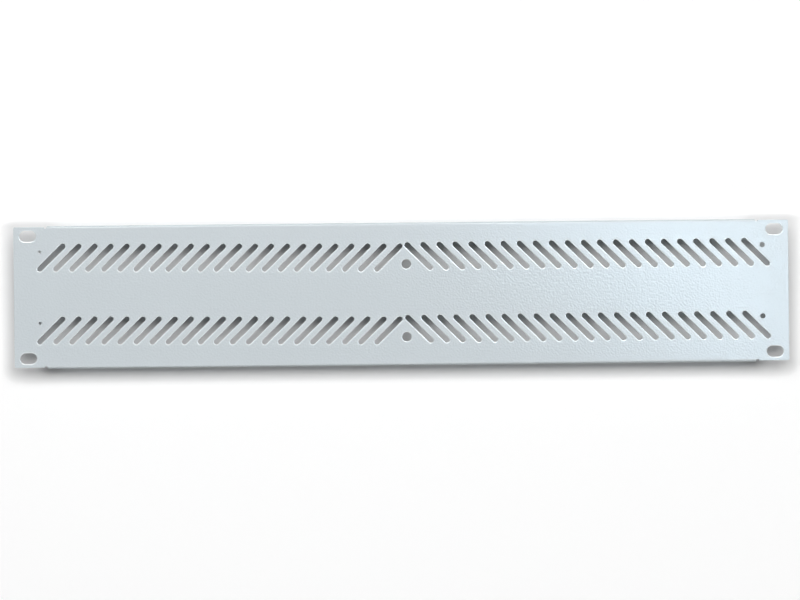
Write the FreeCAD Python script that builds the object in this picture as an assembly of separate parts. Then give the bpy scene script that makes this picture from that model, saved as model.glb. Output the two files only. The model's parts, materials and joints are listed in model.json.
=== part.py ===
"""Vented blanking panel, two units high, for a 19-inch rack.

One steel sheet. It is punched flat, with two rows of slanting vents, the rack slots and a few round holes,
and its long edges are then folded back. The short ends stay flat and are the ears that meet the rack's rails.

Frame, in millimetres: X runs along the panel, Y up the rack, and Z out of the front face. The origin is the
middle of the panel on the surface that it lies on, face up, on the free edges of its two folds.
"""

import FreeCAD, Part
import math
import os

V = FreeCAD.Vector
UP = V(0, 0, 1)

# Rack standard
RACK_UNIT = 44.45
UNITS_HIGH = 2
PANEL_LENGTH = 482.6
RACK_SLOTS_ACROSS = 465.1  # centre to centre, from ear to ear
RACK_SLOT_TO_UNIT_EDGE = 6.35  # from a rack slot's centre to the edge of the rack space
RACK_SLOT_LENGTH = 10.5
RACK_SLOT_WIDTH = 7.0

# Sheet and folds
SHEET = 1.2
BEND_RADIUS = 0.3  # inside the bend
DEPTH = 12.0  # front face to the free edge of a fold
HEIGHT_CLEARANCE = 0.05  # each side, from the folds to the edge of the rack space
EAR_STEP = 0.6  # how far the ears' edges stand back from the folds
EAR_WIDTH = 19.0
EAR_CORNER_RADIUS = 1.0
RELIEF_WIDTH = 1.2  # notch between an ear and the end of a fold, as deep as the bend line
FOLD_TAPER = 30.0  # degrees, how the ends of a fold lean in towards its free edge

# Vents: one bank each side of the middle, with two rows in each bank
VENT_LENGTH = 23.5
VENT_WIDTH = 3.5
VENT_LEAN = 45.0  # degrees from the rows, to the middle on both sides
VENT_END_FLATS = 8  # short flats that stand for each round end, which keeps 88 vents light
VENT_PITCH = 10.0
ROW_SPACING = 45.35
ROWS_RAISED = 0.95  # middle of the two rows above the middle of the panel
BANKS_ASIDE = 1.5  # middle of the two banks beside the middle of the panel
BANK_GAP = 1.5  # between the tips of the innermost vents
BANK_MARGIN = 9.0  # least distance from the outermost vent to the panel's end
LEFT_BANK_TURN = -0.57  # degrees, each bank was punched slightly out of square
RIGHT_BANK_TURN = 0.14

# Round holes
CENTRE_HOLE = 6.0
CENTRE_HOLE_ASIDE = 1.75  # beside the middle of the banks
CENTRE_HOLE_DROP = 5.05  # below the middle line of its row
SIDE_HOLE_LEFT = 1.9
SIDE_HOLE_RIGHT = 3.2
SIDE_HOLE_INSET = 16.2  # from the panel's end
SIDE_HOLES_RAISED = 6.1  # middle of each pair above the middle of the panel

# Worked out from the sizes above
OUTSIDE_RADIUS = BEND_RADIUS + SHEET
FOLDED_HEIGHT = UNITS_HIGH * RACK_UNIT - 2 * HEIGHT_CLEARANCE
EAR_HEIGHT = FOLDED_HEIGHT - 2 * EAR_STEP
BEND_LINE = FOLDED_HEIGHT / 2 - OUTSIDE_RADIUS  # where the flat face ends and a bend begins
BACK = DEPTH - SHEET  # height of the face's back
EAR_EDGE = PANEL_LENGTH / 2 - EAR_WIDTH  # inner edge of an ear
FOLD_END = EAR_EDGE - RELIEF_WIDTH  # end of a fold at its bend line
RACK_SLOTS_UP = UNITS_HIGH * RACK_UNIT - 2 * RACK_SLOT_TO_UNIT_EDGE
SIDE_HOLES_UP = (UNITS_HIGH - 1) * RACK_UNIT


def obround(x, y, length, width):
    """Closed wire of a slot along X with round ends, centred at x, y on the back of the face."""
    r = width / 2
    half = length / 2 - r
    a, b = V(-half, r, 0), V(half, r, 0)
    c, d = V(half, -r, 0), V(-half, -r, 0)
    wire = Part.Wire(
        [
            Part.makeLine(a, b),
            Part.Arc(b, V(half + r, 0, 0), c).toShape(),
            Part.makeLine(c, d),
            Part.Arc(d, V(-half - r, 0, 0), a).toShape(),
        ]
    )
    wire.translate(V(x, y, BACK))
    return wire


def round_hole(x, y, diameter):
    """Closed wire of a round hole at x, y on the back of the face."""
    return Part.Wire([Part.makeCircle(diameter / 2, V(x, y, BACK), UP)])


def vent():
    """Closed wire of one vent, lying along X about the origin, with its round ends drawn as short flats."""
    r = VENT_WIDTH / 2
    half = VENT_LENGTH / 2 - r
    corners = []
    for end in (-1, 1):
        for i in range(VENT_END_FLATS + 1):
            a = math.pi * (i / VENT_END_FLATS - 0.5)
            corners.append(V(end * (half + r * math.cos(a)), end * r * math.sin(a), BACK))
    return Part.makePolygon(corners + corners[:1])


def vent_bank(side, turn):
    """Wires of one bank of vents. side is -1 for the left bank and 1 for the right one.

    The vents lean towards the middle of the panel, and the whole bank is turned about its own middle.
    """
    lean = math.radians(VENT_LEAN)
    reach = (VENT_LENGTH - VENT_WIDTH) * math.cos(lean) + VENT_WIDTH  # one vent along its row
    inner = BANK_GAP / 2 + reach / 2  # middle of the innermost vent, from the middle of the banks
    room = PANEL_LENGTH / 2 - BANK_MARGIN - abs(BANKS_ASIDE) - inner - reach / 2
    count = int(room / VENT_PITCH) + 1
    middle = inner + (count - 1) * VENT_PITCH / 2
    place = FreeCAD.Placement(
        V(BANKS_ASIDE + side * middle, ROWS_RAISED, 0), FreeCAD.Rotation(UP, turn)
    )
    wires = []
    for row in (-1, 1):
        for i in range(count):
            wire = vent()
            at = V((i - (count - 1) / 2) * VENT_PITCH, row * ROW_SPACING / 2, 0)
            spot = FreeCAD.Placement(at, FreeCAD.Rotation(UP, -side * VENT_LEAN))
            wire.Placement = place.multiply(spot)
            wires.append(wire)
    return wires


def rack_slots():
    """Wires of the four slots that the rack's screws pass through."""
    x, y = RACK_SLOTS_ACROSS / 2, RACK_SLOTS_UP / 2
    return [
        obround(sx * x, sy * y, RACK_SLOT_LENGTH, RACK_SLOT_WIDTH)
        for sx in (-1, 1)
        for sy in (-1, 1)
    ]


def centre_holes():
    """Wires of the two larger holes, one in each row between the banks."""
    x = BANKS_ASIDE + CENTRE_HOLE_ASIDE
    return [
        round_hole(x, ROWS_RAISED + row * ROW_SPACING / 2 - CENTRE_HOLE_DROP, CENTRE_HOLE)
        for row in (-1, 1)
    ]


def side_holes():
    """Wires of the pair of small holes beside each ear, one rack unit apart."""
    x = PANEL_LENGTH / 2 - SIDE_HOLE_INSET
    return [
        round_hole(side * x, SIDE_HOLES_RAISED + end * SIDE_HOLES_UP / 2, size)
        for side, size in ((-1, SIDE_HOLE_LEFT), (1, SIDE_HOLE_RIGHT))
        for end in (-1, 1)
    ]


def blank_outline():
    """Closed wire round the flat face and both ears. The folds join it along the two bend lines."""
    half = PANEL_LENGTH / 2
    ear = EAR_HEIGHT / 2
    c = EAR_CORNER_RADIUS
    bow = c * (1 - math.sqrt(0.5))  # how far a corner's arc stays inside the square corner

    def quarter(sx, sy):
        """Edges of one quarter, from the middle of the panel's end to the end of the fold."""

        def at(x, y):
            return V(sx * x, sy * y, BACK)

        return [
            Part.makeLine(at(half, 0), at(half, ear - c)),
            Part.Arc(at(half, ear - c), at(half - bow, ear - bow), at(half - c, ear)).toShape(),
            Part.makeLine(at(half - c, ear), at(EAR_EDGE, ear)),
            Part.makeLine(at(EAR_EDGE, ear), at(EAR_EDGE, BEND_LINE)),
            Part.makeLine(at(EAR_EDGE, BEND_LINE), at(FOLD_END, BEND_LINE)),
        ]

    edges = []
    for sx in (-1, 1):
        for sy in (-1, 1):
            edges += quarter(sx, sy)
    for sy in (-1, 1):
        y = sy * BEND_LINE
        edges.append(Part.makeLine(V(-FOLD_END, y, BACK), V(FOLD_END, y, BACK)))
    return Part.Wire(Part.sortEdges(edges)[0])


def punched_face():
    """The flat part of the sheet: its outline and every hole, given the sheet's thickness."""
    vents = vent_bank(-1, LEFT_BANK_TURN) + vent_bank(1, RIGHT_BANK_TURN)
    holes = vents + rack_slots() + centre_holes() + side_holes()
    face = Part.makeFace([blank_outline()] + holes, "Part::FaceMakerBullseye")
    return face.extrude(V(0, 0, SHEET))


def fold(side):
    """One bend with its flange. side is 1 for the upper fold and -1 for the lower one."""
    centre = DEPTH - OUTSIDE_RADIUS  # height of the bend's axis

    def at(out, z):
        return V(-FOLD_END, side * (BEND_LINE + out), z)

    def bend(radius, start, end):
        middle = radius * math.sqrt(0.5)
        return Part.Arc(start, at(middle, centre + middle), end).toShape()

    outer_top, outer_side = at(0, DEPTH), at(OUTSIDE_RADIUS, centre)
    inner_top, inner_side = at(0, BACK), at(BEND_RADIUS, centre)
    outer_foot, inner_foot = at(OUTSIDE_RADIUS, 0), at(BEND_RADIUS, 0)
    section = Part.Wire(
        [
            bend(OUTSIDE_RADIUS, outer_top, outer_side),
            Part.makeLine(outer_side, outer_foot),
            Part.makeLine(outer_foot, inner_foot),
            Part.makeLine(inner_foot, inner_side),
            bend(BEND_RADIUS, inner_side, inner_top),
            Part.makeLine(inner_top, outer_top),
        ]
    )
    strip = Part.Face(section).extrude(V(2 * FOLD_END, 0, 0))
    return strip.cut([fold_end_offcut(side, end) for end in (-1, 1)])


def fold_end_offcut(side, end):
    """The wedge that is cut from one end of a fold, so that it leans in from the bend to the free edge."""
    lean = DEPTH * math.tan(math.radians(FOLD_TAPER))
    y = side * BEND_LINE
    corners = [
        V(end * FOLD_END, y, DEPTH),
        V(end * (FOLD_END - lean), y, 0),
        V(end * (FOLD_END + SHEET), y, 0),
        V(end * (FOLD_END + SHEET), y, DEPTH),
    ]
    wedge = Part.Face(Part.makePolygon(corners + corners[:1]))
    return wedge.extrude(V(0, side * 2 * OUTSIDE_RADIUS, 0))


def panel():
    """The whole folded sheet as one solid."""
    return punched_face().fuse([fold(-1), fold(1)]).removeSplitter()


def main():
    os.makedirs("parts", exist_ok=True)
    shape = panel()
    solid = shape.Solids[0]
    box = solid.BoundBox
    print("solids", len(shape.Solids), "valid", solid.isValid(), "faces", len(solid.Faces))
    print("size %.2f x %.2f x %.2f mm" % (box.XLength, box.YLength, box.ZLength))
    print("volume %.0f mm3" % solid.Volume)
    solid.exportStep("parts/panel.step")


main()
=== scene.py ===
import json
import math

import bmesh
import bpy
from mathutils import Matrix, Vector


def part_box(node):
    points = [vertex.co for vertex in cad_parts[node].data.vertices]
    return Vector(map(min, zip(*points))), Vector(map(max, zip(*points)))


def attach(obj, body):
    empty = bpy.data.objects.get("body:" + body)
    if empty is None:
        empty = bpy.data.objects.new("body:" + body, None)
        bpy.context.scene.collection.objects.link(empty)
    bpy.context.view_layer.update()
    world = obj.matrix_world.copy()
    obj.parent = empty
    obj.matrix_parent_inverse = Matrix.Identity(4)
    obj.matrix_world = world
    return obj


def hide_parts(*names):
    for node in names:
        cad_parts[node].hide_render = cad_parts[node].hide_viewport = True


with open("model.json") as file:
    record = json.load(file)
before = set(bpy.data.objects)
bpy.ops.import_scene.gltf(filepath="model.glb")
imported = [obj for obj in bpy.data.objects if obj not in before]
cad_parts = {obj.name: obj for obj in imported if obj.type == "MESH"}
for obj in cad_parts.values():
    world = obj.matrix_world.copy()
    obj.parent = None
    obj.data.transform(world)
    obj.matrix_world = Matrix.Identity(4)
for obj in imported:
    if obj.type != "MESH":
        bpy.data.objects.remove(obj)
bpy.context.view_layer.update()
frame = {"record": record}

MM = 0.001


# ------------------------------------------------------------------------------------------------------------
# The blank
# One piece of 1.2 mm steel sheet, cut to its outline and punched while it is flat. The punch drags the front
# edge of every vent and slot down a little, so its rim rolls softly into the hole. The small holes beside the
# ears keep a crisp edge.
# ------------------------------------------------------------------------------------------------------------


class Wire:
    """An output of a node. Arithmetic on it adds Math nodes to its tree, and make adds any other node."""

    def __init__(self, tree, socket=None):
        self.tree = tree
        self.socket = socket

    def make(self, kind, settings=None, inputs=None, output=0):
        """Adds a node, with its settings and the values or wires of its inputs. Gives one of its outputs."""
        node = self.tree.nodes.new(kind)
        for name, value in (settings or {}).items():
            if name == "stops":
                ramp = node.color_ramp.elements
                while len(ramp) < len(value):
                    ramp.new(0.5)
                for stop, (position, colour) in zip(ramp, value):
                    stop.position = position
                    stop.color = colour
            else:
                setattr(node, name, value)
        for name, value in (inputs or {}).items():
            for one in value if isinstance(value, list) else [value]:
                if isinstance(one, Wire):
                    self.tree.links.new(one.socket, node.inputs[name])
                else:
                    node.inputs[name].default_value = one
        return None if output is None else Wire(self.tree, node.outputs[output])

    def other(self, output):
        """Another output of the node that this one comes from."""
        return Wire(self.tree, self.socket.node.outputs[output])

    def maths(self, operation, a, b=0.0):
        return self.make("ShaderNodeMath", {"operation": operation}, {0: a, 1: b})

    def __add__(self, b):
        return self.maths("ADD", self, b)

    def __radd__(self, a):
        return self.maths("ADD", a, self)

    def __sub__(self, b):
        return self.maths("SUBTRACT", self, b)

    def __rsub__(self, a):
        return self.maths("SUBTRACT", a, self)

    def __mul__(self, b):
        return self.maths("MULTIPLY", self, b)

    def __truediv__(self, b):
        return self.maths("DIVIDE", self, b)

    def __neg__(self):
        return self.maths("MULTIPLY", self, -1.0)


low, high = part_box("panel")
mounts = {m["name"]: m for m in frame["record"]["mounts"]}
slots = mounts["rack_slots"]["dims"]

SHEET = 1.2 * MM
DEPTH = high.z
BACK = DEPTH - SHEET
BEND_OUTSIDE = 1.5 * MM
EAR_STEP = 0.6 * MM
EAR_WIDTH = 19.0 * MM
RELIEF_WIDTH = 1.2 * MM
FOLD_LEAN = math.radians(30)

BEND_LINE = high.y - BEND_OUTSIDE
EAR_EDGE = high.x - EAR_WIDTH
FOLD_END = EAR_EDGE - RELIEF_WIDTH
BEND_NEUTRAL = BEND_OUTSIDE - SHEET / 2  # radius of the sheet's middle line in a bend
BEND_ARC = BEND_NEUTRAL * math.pi / 2
FLANGE_FLAT = BEND_ARC + DEPTH - BEND_OUTSIDE  # from the bend line to the free edge, unfolded

FRONT_EDGE = 0.15 * MM  # radius of the outline's front edge
RIM_DEPTH = 0.14 * MM  # how far the rim of a hole rolls down
ROLL_SPREAD = 3.8  # how much wider than deep that roll is
BACK_EDGE = 0.12 * MM  # radius of every edge at the back, and of a crisp hole's front edge
COLLAR = 0.05 * MM  # flat strip beside each rounded edge
RIM_FADE = 1.6  # the mark of a rim is full over the steep part of its roll, and fades out over the rest
WELD = 0.002 * MM  # points closer than this become one

# The outline's corners in the first quarter, each with the radius that it is rounded to.
toe = FOLD_END - DEPTH * math.tan(FOLD_LEAN)
quarter = [
    # x, y, radius
    (high.x, high.y - EAR_STEP, 1.0 * MM),
    (EAR_EDGE, high.y - EAR_STEP, 0.25 * MM),
    (EAR_EDGE, BEND_LINE, 0.1 * MM),
    (FOLD_END, BEND_LINE, 0.1 * MM),
    (toe, BEND_LINE + FLANGE_FLAT, 0.6 * MM),
]
outline = (
    quarter
    + [(-x, y, r) for x, y, r in reversed(quarter)]
    + [(-x, -y, r) for x, y, r in quarter]
    + [(x, -y, r) for x, y, r in reversed(quarter)]
)
flat = bpy.data.meshes.new("blank_outline")
ring = range(len(outline))
flat.from_pydata([(x, y, 0) for x, y, r in outline], [(i, (i + 1) % len(outline)) for i in ring], [])
flat.attributes.new("corner_radius", "FLOAT", "POINT").data.foreach_set("value", [r for x, y, r in outline])
blank = bpy.data.objects.new("blank", flat)
bpy.context.collection.objects.link(blank)
powder_coat = bpy.data.materials.new("powder_coat")

punch = bpy.data.node_groups.new("punched_sheet", "GeometryNodeTree")
punch.interface.new_socket("Geometry", in_out="INPUT", socket_type="NodeSocketGeometry")
punch.interface.new_socket("Geometry", in_out="OUTPUT", socket_type="NodeSocketGeometry")
SIZES = {
    "Front height": DEPTH,
    "Back height": BACK,
    "Front edge": FRONT_EDGE,
    "Rim depth": RIM_DEPTH,
    "Back edge": BACK_EDGE,
    "Vent length": 23.5 * MM,
    "Vent width": 3.5 * MM,
    "Vent pitch": 10.0 * MM,
    "Row spacing": 45.35 * MM,
    "Rack slot length": slots["slot_length_mm"] * MM,
    "Rack slot width": slots["hole_r_mm"] * 2 * MM,
}
sockets = {
    name: punch.interface.new_socket(name, in_out="INPUT", socket_type="NodeSocketFloat") for name in SIZES
}
g = Wire(punch)
given = g.make("NodeGroupInput")
size = {name: given.other(name) for name in SIZES}

VENTS_IN_ROW = 22
VENT_LEAN = math.radians(45)
ROWS_RAISED = 0.95 * MM
BANKS_ASIDE = 1.5 * MM  # middle of the two banks beside the middle of the panel
BANK_MIDDLE = 114.55 * MM  # from there to the middle of a bank
BANK_TURNS = {-1: math.radians(-0.57), 1: math.radians(0.14)}  # the left bank and the right one, as punched
ROUND_POINTS = 32  # round a hole, a multiple of four
CORNER_POINTS = 7  # round a corner of the outline
EDGE_POINTS = 5  # over a rounded edge


def round_curve(radius):
    """A ring whose flats touch the circle of that radius, with no point on either axis."""
    circle = g.make(
        "GeometryNodeCurvePrimitiveCircle",
        inputs={"Resolution": ROUND_POINTS, "Radius": radius / math.cos(math.pi / ROUND_POINTS)},
    )
    half_step = (0, 0, math.pi / ROUND_POINTS)
    return g.make("GeometryNodeTransform", inputs={"Geometry": circle, "Rotation": half_step})


def obround_curve(length, width):
    """A ring pulled apart along X into a slot with round ends."""
    ring = round_curve(width / 2)
    position = g.make("GeometryNodeInputPosition")
    x = g.make("ShaderNodeSeparateXYZ", inputs={0: position})
    shift = g.maths("SIGN", x) * (length - width) / 2
    offset = g.make("ShaderNodeCombineXYZ", inputs={"X": shift})
    return g.make("GeometryNodeSetPosition", inputs={"Geometry": ring, "Offset": offset})


def grid(across, up, columns, rows):
    """Points in rows and columns about the origin."""
    return g.make(
        "GeometryNodeMeshGrid",
        inputs={"Size X": across, "Size Y": up, "Vertices X": columns, "Vertices Y": rows},
    )


def line(mount):
    """Two points, one above the other, where the record puts a pair of holes."""
    x, y, _ = mount["pos_m"]
    gap = mount["dims"]["spacing_y_mm"] * MM
    return g.make(
        "GeometryNodeMeshLine",
        {"mode": "END_POINTS"},
        {"Count": 2, "Start Location": (x, y - gap / 2, 0), "Offset": (x, y + gap / 2, 0)},
    )


def punched(points, curve, turn=0.0):
    """The same hole at each of the points."""
    return g.make(
        "GeometryNodeInstanceOnPoints",
        inputs={"Points": points, "Instance": curve, "Rotation": (0, 0, turn)},
    )


vent = obround_curve(size["Vent length"], size["Vent width"])
bank = grid(size["Vent pitch"] * (VENTS_IN_ROW - 1), size["Row spacing"], VENTS_IN_ROW, 2)
rolled, crisp = [], []
for side, turn in BANK_TURNS.items():
    vents = punched(bank, vent, -side * VENT_LEAN)
    middle = (BANKS_ASIDE + side * BANK_MIDDLE, ROWS_RAISED, 0)
    vents = {"Geometry": vents, "Translation": middle, "Rotation": (0, 0, turn)}
    rolled.append(g.make("GeometryNodeTransform", inputs=vents))
rack = grid(slots["spacing_x_mm"] * MM, slots["spacing_y_mm"] * MM, 2, 2)
rolled.append(punched(rack, obround_curve(size["Rack slot length"], size["Rack slot width"])))
for name, holes in (("centre_holes", rolled), ("left_end_holes", crisp), ("right_end_holes", crisp)):
    radius = mounts[name]["dims"]["hole_r_mm"] * MM
    holes.append(punched(line(mounts[name]), round_curve(radius)))


def gathered(instances):
    """One set of curves from all of these instances."""
    joined = g.make("GeometryNodeJoinGeometry", inputs={"Geometry": instances})
    return g.make("GeometryNodeRealizeInstances", inputs={"Geometry": joined})


corner = g.make("GeometryNodeInputNamedAttribute", {"data_type": "FLOAT"}, {"Name": "corner_radius"})
edge_curve = g.make("GeometryNodeMeshToCurve", inputs={"Mesh": given})
edge_curve = g.make(
    "GeometryNodeFilletCurve",
    {"mode": "POLY"},
    {"Curve": edge_curve, "Radius": corner, "Count": CORNER_POINTS, "Limit Radius": True},
)
edge_curve = g.make("GeometryNodeReverseCurve", inputs={"Curve": edge_curve})


def cut_edge(curve, depth, spread):
    """The cut wall along a curve, from a collar on the front face, over the rolled edge, to one on the back.

    Its section starts as four points: the front collar, the two edges of the wall, and the back collar.
    """
    index = g.make("GeometryNodeInputIndex")
    at_front = g.maths("LESS_THAN", index, 1.5)
    first, last = g.maths("LESS_THAN", index, 0.5), g.maths("GREATER_THAN", index, 2.5)
    x = first * (depth + COLLAR / spread) + last * (size["Back edge"] + COLLAR)
    z = size["Back height"] + at_front * (size["Front height"] - size["Back height"])
    section = g.make("GeometryNodeMeshLine", inputs={"Count": 4})
    corners = g.make("ShaderNodeCombineXYZ", inputs={"X": x, "Y": -z})
    section = g.make("GeometryNodeSetPosition", inputs={"Geometry": section, "Position": corners})
    section = g.make("GeometryNodeMeshToCurve", inputs={"Mesh": section})
    rounding = at_front * depth + (1 - at_front) * size["Back edge"]
    section = g.make(
        "GeometryNodeFilletCurve",
        {"mode": "POLY"},
        {"Curve": section, "Radius": rounding, "Count": EDGE_POINTS},
    )
    out = g.make("ShaderNodeSeparateXYZ", inputs={0: g.make("GeometryNodeInputPosition")})
    over_back = -out.other("Y") - size["Back height"]
    above = g.maths("GREATER_THAN", over_back, size["Back edge"] * 1.5)
    wider = g.make("ShaderNodeCombineXYZ", inputs={"X": above * out * (spread - 1)})
    section = g.make("GeometryNodeSetPosition", inputs={"Geometry": section, "Offset": wider})
    # This rim mark makes the coat glossier on the rims and also places the painted highlight there.
    rim = above * RIM_FADE * (1 - out / (depth * spread))
    rim = g.maths("MAXIMUM", g.maths("MINIMUM", rim, 1.0), 0.0)
    section = g.make(
        "GeometryNodeStoreNamedAttribute",
        {"data_type": "FLOAT", "domain": "POINT"},
        {"Geometry": section, "Name": "rim", "Value": rim},
    )
    curve = g.make("GeometryNodeSetCurveNormal", {"mode": "Z_UP"}, {"Curve": curve})
    return g.make("GeometryNodeCurveToMesh", inputs={"Curve": curve, "Profile Curve": section})


walls = g.make(
    "GeometryNodeJoinGeometry",
    inputs={
        "Geometry": [
            cut_edge(gathered(rolled), size["Rim depth"], ROLL_SPREAD),
            cut_edge(gathered(crisp), size["Back edge"], 1.0),
            cut_edge(edge_curve, size["Front edge"], 1.0),
        ]
    },
)

# The two faces fill the sheet between the collars.
half_way = (size["Front height"] + size["Back height"]) / 2
open_edge = g.maths("LESS_THAN", g.make("GeometryNodeInputMeshEdgeNeighbors"), 1.5)
z = g.make("ShaderNodeSeparateXYZ", inputs={0: g.make("GeometryNodeInputPosition")}, output="Z")
surfaces = [walls]
for height, chosen in (
    ("Front height", g.maths("GREATER_THAN", z, half_way)),
    ("Back height", g.maths("LESS_THAN", z, half_way)),
):
    rims = g.make("GeometryNodeMeshToCurve", inputs={"Mesh": walls, "Selection": open_edge * chosen})
    face = g.make("GeometryNodeFillCurve", {"mode": "TRIANGLES"}, {"Curve": rims})
    lift = g.make("ShaderNodeCombineXYZ", inputs={"Z": size[height]})
    surfaces.append(g.make("GeometryNodeSetPosition", inputs={"Geometry": face, "Offset": lift}))
sheet = g.make("GeometryNodeJoinGeometry", inputs={"Geometry": surfaces})
sheet = g.make("GeometryNodeMergeByDistance", inputs={"Geometry": sheet, "Distance": WELD})
sheet = g.make("GeometryNodeSetShadeSmooth", inputs={"Geometry": sheet, "Shade Smooth": True})
sheet = g.make("GeometryNodeRealizeInstances", inputs={"Geometry": sheet})
sheet = g.make("GeometryNodeSetMaterial", inputs={"Geometry": sheet, "Material": powder_coat})
g.make("NodeGroupOutput", inputs={"Geometry": sheet}, output=None)

press = blank.modifiers.new("punch", "NODES")
press.node_group = punch
for name, socket in sockets.items():
    press[socket.identifier] = SIZES[name]
pressed = blank.evaluated_get(bpy.context.evaluated_depsgraph_get())
sheet_mesh = bpy.data.meshes.new_from_object(pressed)
bpy.data.objects.remove(blank)


# ------------------------------------------------------------------------------------------------------------
# The folds
# The long edges of the blank are bent back by a right angle in a press brake, round a small radius. The sheet
# stretches outside its middle line and shrinks inside it. The ears stay flat between the relief notches.
# ------------------------------------------------------------------------------------------------------------
BEND_STEPS = 8
HOLD = 0.25 * MM  # a line of points just beside each bend, which keeps the flat faces flat
SNAP = 0.001 * MM  # points closer than this to a line count as on it

NOTCH_MIDDLE = EAR_EDGE - RELIEF_WIDTH / 2
lines = [-HOLD] + [BEND_ARC * i / BEND_STEPS for i in range(BEND_STEPS + 1)] + [BEND_ARC + HOLD]

metal = bmesh.new()
metal.from_mesh(sheet_mesh)
for side in (-1, 1):
    for past in lines:
        everything = metal.verts[:] + metal.edges[:] + metal.faces[:]
        cut = (0, side * (BEND_LINE + past), 0)
        bmesh.ops.bisect_plane(metal, geom=everything, dist=SNAP, plane_co=cut, plane_no=(0, 1, 0))
for point in metal.verts:
    past = abs(point.co.y) - BEND_LINE
    if past > 0 and abs(point.co.x) < NOTCH_MIDDLE:
        radius = BEND_OUTSIDE - (DEPTH - point.co.z)
        angle = min(past, BEND_ARC) / BEND_NEUTRAL
        straight = max(past - BEND_ARC, 0)
        point.co.y = math.copysign(BEND_LINE + radius * math.sin(angle), point.co.y)
        point.co.z = DEPTH - BEND_OUTSIDE + radius * math.cos(angle) - straight
bmesh.ops.recalc_face_normals(metal, faces=metal.faces)
metal.to_mesh(sheet_mesh)
metal.free()

panel = bpy.data.objects.new("folded_panel", sheet_mesh)
bpy.context.collection.objects.link(panel)
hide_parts("panel")
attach(panel, "root")


# ------------------------------------------------------------------------------------------------------------
# The powder coat
# A light grey polyester powder, baked on after folding. It is satin, with the fine orange peel of such a
# coat. It is glossier over the rims of the holes, and a painted highlight makes it paler there.
# ------------------------------------------------------------------------------------------------------------
PEEL_SIZE = 1.2 * MM
PEEL_HEIGHT = 0.1 * MM
CLOUD_SIZE = 60 * MM  # the tone drifts a little over this distance
DEEP = (0.52, 0.573, 0.6, 1)
PLAIN = (0.612, 0.67, 0.703, 1)
# The palest colour is a painted highlight, put on the rims of the holes.
PAINTED_RIM_HIGHLIGHT = (0.79, 0.845, 0.87, 1)
FLAT_TONE = 0.25  # where the flat coat lies between deep, at 0, plain, at 0.5, and the painted rim highlight, at 1
CLOUD_TONE, PEEL_TONE, RIM_HIGHLIGHT_TONE = 0.12, 0.16, 0.45  # how far each of them shifts it

powder_coat.use_nodes = True
coat = Wire(powder_coat.node_tree)
coat.tree.nodes.clear()
place = coat.make("ShaderNodeTexCoord", output="Object")


def grain(lump, detail):
    """Noise in the coat about nought, with lumps of about that size."""
    noise = coat.make(
        "ShaderNodeTexNoise",
        {"noise_dimensions": "3D"},
        {"Vector": place, "Scale": 1 / lump, "Detail": detail, "Roughness": 0.5},
        output="Fac",
    )
    return noise - 0.5


rim = coat.make("ShaderNodeAttribute", {"attribute_name": "rim"}, output="Fac")
peel = grain(PEEL_SIZE, 0.6)
cloud = grain(CLOUD_SIZE, 2.0)
# The rims shift the tone towards the painted highlight, so they are painted paler.
shade = FLAT_TONE + cloud * CLOUD_TONE + peel * PEEL_TONE + rim * RIM_HIGHLIGHT_TONE
tone = coat.make(
    "ShaderNodeValToRGB",
    {"stops": [(0.0, DEEP), (0.5, PLAIN), (1.0, PAINTED_RIM_HIGHLIGHT)]},
    {0: shade},
)
bump = coat.make(
    "ShaderNodeBump",
    inputs={"Strength": 1.0, "Distance": PEEL_HEIGHT, "Height": peel},
    output="Normal",
)
finish = coat.make(
    "ShaderNodeBsdfPrincipled",
    inputs={
        "Base Color": tone,
        "Roughness": 0.2 + peel * 0.1,
        "IOR": 1.5,
        "Normal": bump,
        "Coat Weight": rim,
        "Coat Roughness": 0.18,
        "Coat IOR": 2.0,
    },
)
coat.make("ShaderNodeOutputMaterial", inputs={"Surface": finish}, output=None)


# ------------------------------------------------------------------------------------------------------------
# The table, the light and the camera
# The panel lies face up on a white table and is seen from straight above. A large softbox beyond its upper
# edge and a weak fill beyond the lower one light it. The strip, card and window only show in its gloss.
# ------------------------------------------------------------------------------------------------------------
scene = bpy.context.scene
scene.view_settings.view_transform = "Standard"

REACH = 6.0  # from the middle of the table to its edges
SHADOW_REACH = 11 * MM  # how far beyond the panel's edges the glow is held back, which paints a shade over the panel's real shadow
UPPER_FADE = 2.7  # how many times shorter it is beyond the upper edge, on the softbox's side
GLOW = 0.24  # the glow that lifts the table to white outside that painted shade

table_mesh = bpy.data.meshes.new("table")
corners = [(-REACH, -REACH, 0), (REACH, -REACH, 0), (REACH, REACH, 0), (-REACH, REACH, 0)]
table_mesh.from_pydata(corners, [], [(0, 1, 2, 3)])
table = bpy.data.objects.new("table", table_mesh)
bpy.context.collection.objects.link(table)
white = bpy.data.materials.new("white_table")
white.use_nodes = True
paper = Wire(white.node_tree)
paper.tree.nodes.clear()


def seen(shading):
    """1 for the rays that show a surface as a background: seen directly, mirrored or through glass."""
    ray = shading.make("ShaderNodeLightPath", output="Is Camera Ray")
    indirect = shading.maths("MAXIMUM", ray.other("Is Glossy Ray"), ray.other("Is Transmission Ray"))
    return shading.maths("MAXIMUM", ray, indirect)


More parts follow.
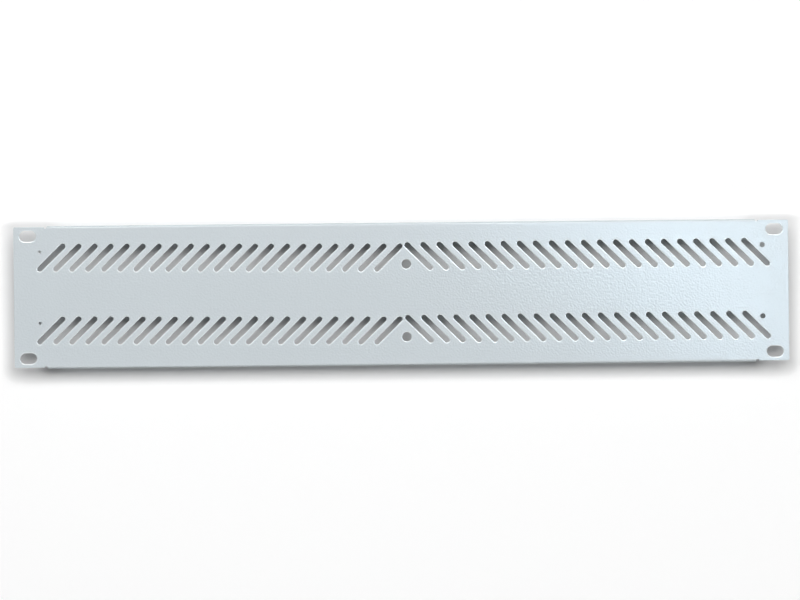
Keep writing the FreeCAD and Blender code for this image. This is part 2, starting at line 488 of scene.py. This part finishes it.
# The table glows to white away from the panel. Near its edges the glow is held back, and less far beyond the
# upper edge, which paints a shade there on top of the real shadow.
spot = paper.make("ShaderNodeSeparateXYZ", inputs={0: paper.make("ShaderNodeTexCoord", output="Object")})
past_x = paper.maths("MAXIMUM", paper.maths("ABSOLUTE", spot) - high.x, 0.0)
past_y = paper.maths("MAXIMUM", (spot.other("Y") - high.y) * UPPER_FADE, -spot.other("Y") - high.y)
past_y = paper.maths("MAXIMUM", past_y, 0.0)
clear = paper.maths("MINIMUM", (past_x * past_x + past_y * past_y) / SHADOW_REACH**2, 1.0)
matt = paper.make("ShaderNodeBsdfDiffuse", inputs={"Color": (0.8, 0.8, 0.8, 1)})
strength = seen(paper) * clear * GLOW
glow = paper.make("ShaderNodeEmission", inputs={"Color": (1, 1, 1, 1), "Strength": strength})
both = paper.make("ShaderNodeAddShader", inputs={0: matt, 1: glow})
paper.make("ShaderNodeOutputMaterial", inputs={"Surface": both}, output=None)
table_mesh.materials.append(white)

AMBIENT = 0.08  # the world's light on the panel, where 1 is the white that it shows as

room = bpy.data.worlds.new("room")
scene.world = room
room.use_nodes = True
air = Wire(room.node_tree)
air.tree.nodes.clear()
strength = AMBIENT + seen(air) * (1 - AMBIENT)
sky = air.make("ShaderNodeBackground", inputs={"Color": (1, 1, 1, 1), "Strength": strength})
air.make("ShaderNodeOutputWorld", inputs={"Surface": sky}, output=None)


def lamp(name, place, width, height, power, aim=(0, 0, 0), colour=(1, 1, 1)):
    """A soft rectangular light at a place, facing a point."""
    light = bpy.data.lights.new(name, "AREA")
    light.shape = "RECTANGLE"
    light.size, light.size_y = width, height
    light.energy = power
    light.color = colour
    fitting = bpy.data.objects.new(name, light)
    bpy.context.collection.objects.link(fitting)
    fitting.location = place
    fitting.rotation_euler = (Vector(aim) - Vector(place)).to_track_quat("-Z", "Y").to_euler()
    return fitting


lamp("softbox", (0, 1.26, 2.274), 3.4, 1.79, 85.0)
fill = lamp("fill", (0, -2.4, 0.8), 4.0, 0.7, 17.0)
fill.visible_glossy = False
strip = lamp("strip", (0, 1.2, 1.75), 4.0, 0.3, 20.0)
strip.visible_diffuse = False
card = lamp("card", (0, -1.3, 2.26), 4.0, 1.2, 45.0)
card.visible_diffuse = False
window = lamp("window", (0.35, 0.15, 1.5), 0.74, 0.12, 6.3, aim=(0.2, 0, 0), colour=(0.65, 0.85, 1))
window.visible_diffuse = False

VIEW_WIDTH = 498.3 * MM  # across the picture, at the panel's face
VIEW_HEIGHT = 1.2  # from the face up to the camera
VIEW_MIDDLE = (-0.86 * MM, -3.86 * MM)
VIEW_TURN = math.radians(-0.585)

camera = bpy.data.cameras.new("camera")
camera.sensor_width = 36
camera.lens = camera.sensor_width * VIEW_HEIGHT / VIEW_WIDTH
camera.clip_start, camera.clip_end = 0.01, 50
tripod = bpy.data.objects.new("camera", camera)
bpy.context.collection.objects.link(tripod)
tripod.location = (*VIEW_MIDDLE, DEPTH + VIEW_HEIGHT)
tripod.rotation_euler = (0, 0, VIEW_TURN)
scene.camera = tripod
